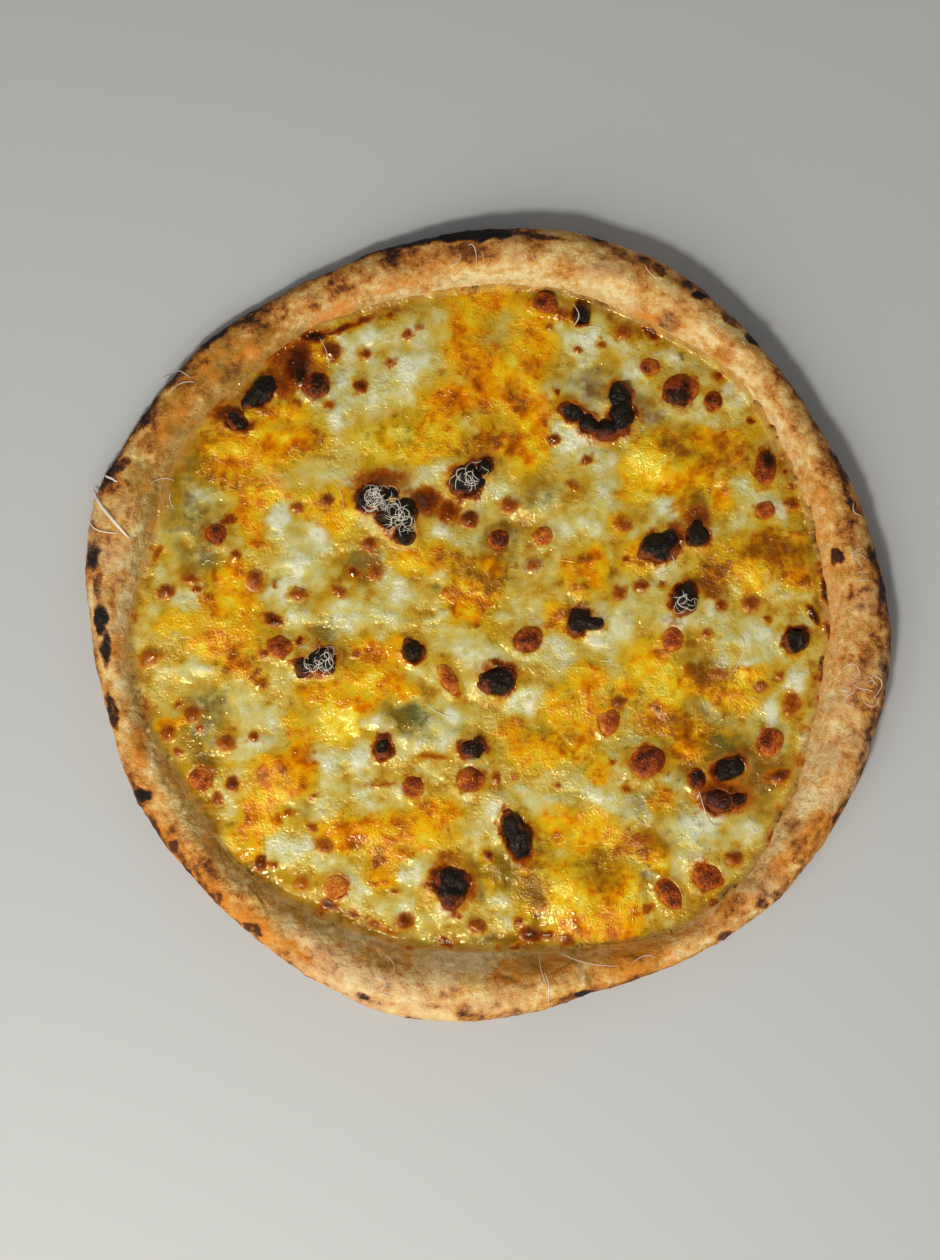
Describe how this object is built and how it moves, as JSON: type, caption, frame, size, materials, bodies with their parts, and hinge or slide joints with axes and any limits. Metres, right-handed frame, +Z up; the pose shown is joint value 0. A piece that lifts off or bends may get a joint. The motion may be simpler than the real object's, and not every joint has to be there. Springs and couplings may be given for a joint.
{
  "type": "four cheese pizza",
  "caption": "Whole round four cheese pizza with a puffed uneven crust, melted white and golden cheese, browned and charred cheese bubbles and grated shreds.",
  "frame": {"origin": "middle of the pizza, on the flat underside of the crust", "axes": "+Z up out of the cheese; +X to the right and +Y to the top of the picture, which looks straight down"},
  "size_m": [0.3296, 0.325, 0.0205],
  "materials": {
    "baked_dough": "dry baked wheat dough, floury, browned and charred in spots",
    "white_cheese": "melted pale cheese, greasy, glossy in places",
    "golden_cheese": "melted golden cheese, oily and glossy",
    "browned_cheese": "cheese bubble baked brown, satin to glossy",
    "charred_cheese": "cheese bubble charred black, oily, wrinkled"
  },
  "bodies": {
    "root": {"crust": "baked_dough", "white_cheese": "white_cheese", "golden_cheese_1": "golden_cheese", "golden_cheese_2": "golden_cheese", "golden_cheese_3": "golden_cheese", "golden_cheese_4": "golden_cheese", "golden_cheese_5": "golden_cheese", "golden_cheese_6": "golden_cheese", "golden_cheese_7": "golden_cheese", "golden_cheese_8": "golden_cheese", "golden_cheese_9": "golden_cheese", "golden_cheese_10": "golden_cheese", "golden_cheese_11": "golden_cheese", "golden_cheese_12": "golden_cheese", "charred_bubble_1": "charred_cheese", "charred_bubble_2": "charred_cheese", "charred_bubble_3": "charred_cheese", "charred_bubble_4": "charred_cheese", "charred_bubble_5": "charred_cheese", "charred_bubble_6": "charred_cheese", "charred_bubble_7": "charred_cheese", "charred_bubble_8": "charred_cheese", "charred_bubble_9": "charred_cheese", "charred_bubble_10": "charred_cheese", "charred_bubble_11": "charred_cheese", "charred_bubble_12": "charred_cheese", "charred_bubble_13": "charred_cheese", "charred_bubble_14": "charred_cheese", "charred_bubble_15": "charred_cheese", "charred_bubble_16": "charred_cheese", "charred_bubble_17": "charred_cheese", "charred_bubble_18": "charred_cheese", "charred_bubble_19": "charred_cheese", "charred_bubble_20": "charred_cheese", "browned_bubble_1": "browned_cheese", "browned_bubble_2": "browned_cheese", "browned_bubble_3": "browned_cheese", "browned_bubble_4": "browned_cheese", "browned_bubble_5": "browned_cheese", "browned_bubble_6": "browned_cheese", "browned_bubble_7": "browned_cheese", "browned_bubble_8": "browned_cheese", "browned_bubble_9": "browned_cheese", "browned_bubble_10": "browned_cheese", "browned_bubble_11": "browned_cheese", "browned_bubble_12": "browned_cheese", "browned_bubble_13": "browned_cheese", "browned_bubble_14": "browned_cheese", "browned_bubble_15": "browned_cheese", "browned_bubble_16": "browned_cheese", "browned_bubble_17": "browned_cheese", "browned_bubble_18": "browned_cheese", "browned_bubble_19": "browned_cheese", "browned_bubble_20": "browned_cheese", "browned_bubble_21": "browned_cheese", "browned_bubble_22": "browned_cheese", "browned_bubble_23": "browned_cheese", "browned_bubble_24": "browned_cheese"}
  },
  "joints": []
}
